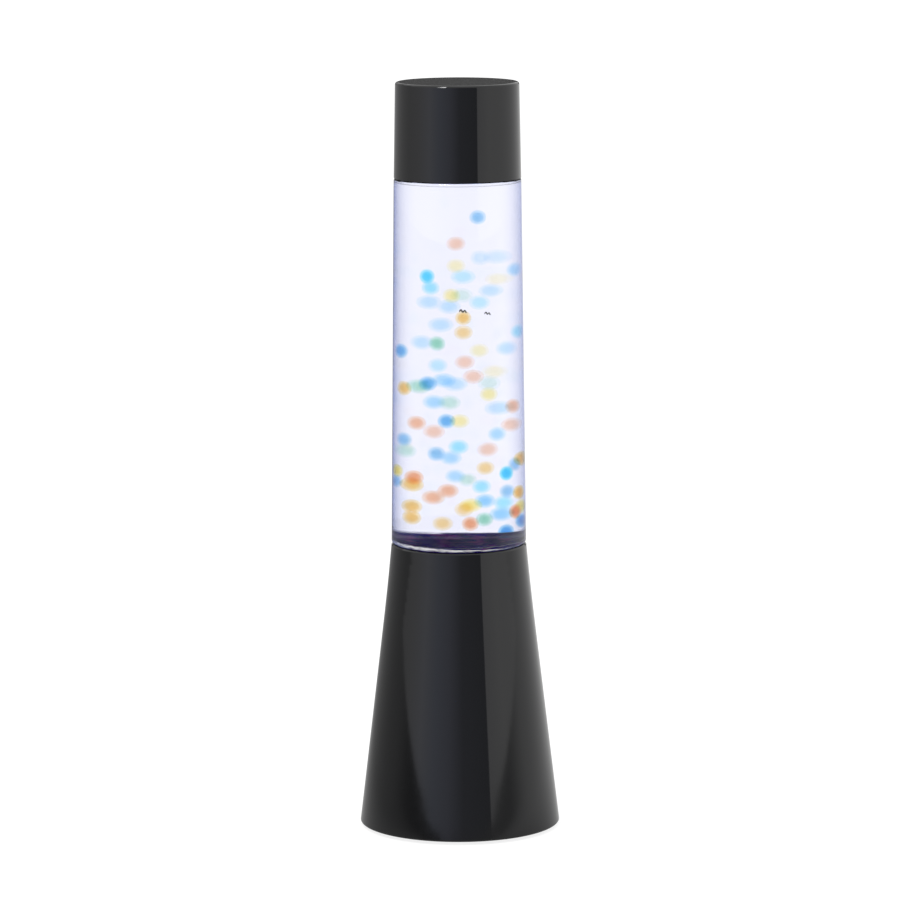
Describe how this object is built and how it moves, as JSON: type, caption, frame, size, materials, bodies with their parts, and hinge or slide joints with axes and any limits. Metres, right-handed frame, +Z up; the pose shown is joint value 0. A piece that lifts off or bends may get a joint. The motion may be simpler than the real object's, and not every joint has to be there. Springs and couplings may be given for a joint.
{
  "type": "lava lamp",
  "caption": "Table lava lamp: flared black plastic housing with bulb and lampholder, sealed tapered glass bottle of pale liquid with coloured beads, and a lift-off black cap.",
  "frame": {"origin": "on the table, under the middle of the lamp", "axes": "+Z up along the lamp's axis, front towards -Y, cord inlet at +Y"},
  "size_m": [0.091, 0.091, 0.3399],
  "materials": {
    "housing_black": "smooth black moulded plastic, soft gloss",
    "cap_black": "smooth black moulded plastic, soft gloss",
    "cover_black": "fine textured black plastic",
    "rubber_black": "matt black rubber",
    "nylon_white": "natural nylon",
    "steel_screws": "zinc plated",
    "steel_sheet": "zinc plated sheet",
    "brass": "plain brass",
    "lead_brown": "soft PVC insulation",
    "lead_blue": "soft PVC insulation",
    "holder_white": "white thermoset",
    "aluminium": "satin",
    "silicone": "translucent silicone",
    "solder": "bright solder",
    "black_glass": "black vitrite",
    "bulb_glass": "clear glass",
    "mirror": "vacuum deposited mirror",
    "tungsten": "drawn wire",
    "bottle_glass": "clear glass",
    "liquid": "clear liquid with a pale lilac tint",
    "liner": "soft sealing disc",
    "crown_gold": "lacquered tinplate",
    "bead_cyan": "clear coloured bead",
    "bead_sky": "clear coloured bead",
    "bead_blue": "clear coloured bead",
    "bead_orange": "clear coloured bead",
    "bead_amber": "clear coloured bead",
    "bead_yellow": "clear coloured bead",
    "bead_green": "clear coloured bead"
  },
  "bodies": {
    "base": {"base_housing": "housing_black", "bottom_cover": "cover_black", "rubber_feet": "rubber_black", "cord_bush": "rubber_black", "cord_clamp_bar": "nylon_white", "terminal_block": "nylon_white", "cover_screws": "steel_screws", "cord_clamp_screws": "steel_screws", "bracket_screws": "steel_screws", "seat_screws": "steel_screws", "terminal_fixing_screw": "steel_screws", "terminal_screws": "steel_screws", "terminal_tubes": "brass", "lead_live": "lead_brown", "lead_neutral": "lead_blue", "holder_bracket": "steel_sheet", "holder_rod": "steel_screws", "holder_nut": "steel_screws", "holder_washer": "steel_screws", "holder_base": "holder_white", "holder_core": "holder_white", "holder_sleeve": "holder_white", "holder_shell": "brass", "holder_contact": "brass", "seat_ring": "aluminium", "seat_gasket": "silicone"},
    "bulb_tip": {"bulb_contact": "solder", "bulb_insulator": "black_glass"},
    "bulb": {"bulb_screw_cap": "aluminium", "bulb_glass": "bulb_glass", "bulb_mirror": "mirror", "bulb_stem": "bulb_glass", "bulb_wires": "steel_screws", "bulb_filament": "tungsten"},
    "bottle": {"bottle_glass": "bottle_glass", "liquid": "liquid", "beads_cyan": "bead_cyan", "beads_sky": "bead_sky", "beads_blue": "bead_blue", "beads_orange": "bead_orange", "beads_amber": "bead_amber", "beads_yellow": "bead_yellow", "beads_green": "bead_green", "crown_liner": "liner", "crown_cap": "crown_gold"},
    "cap": {"top_cap": "cap_black"}
  },
  "joints": [
    {"name": "bottle_lift", "type": "slide", "parent": "base", "child": "bottle", "axis": [0, 0, 1], "range_m": [0, 0.15]},
    {"name": "cap_lift", "type": "slide", "parent": "bottle", "child": "cap", "axis": [0, 0, 1], "range_m": [0, 0.06]},
    {"name": "bulb_rise", "type": "slide", "parent": "base", "child": "bulb_tip", "axis": [0, 0, 1], "range_m": [0, 0.01695]},
    {"name": "bulb_turn", "type": "hinge", "parent": "bulb_tip", "child": "bulb", "pos_m": [0, 0, 0.06], "axis": [0, 0, 1], "range_deg": [0, 2160]}
  ],
  "couplings": [
    {"joint": "bulb_rise", "follows": "bulb_turn", "m_per_rad": 0.00044882}
  ]
}
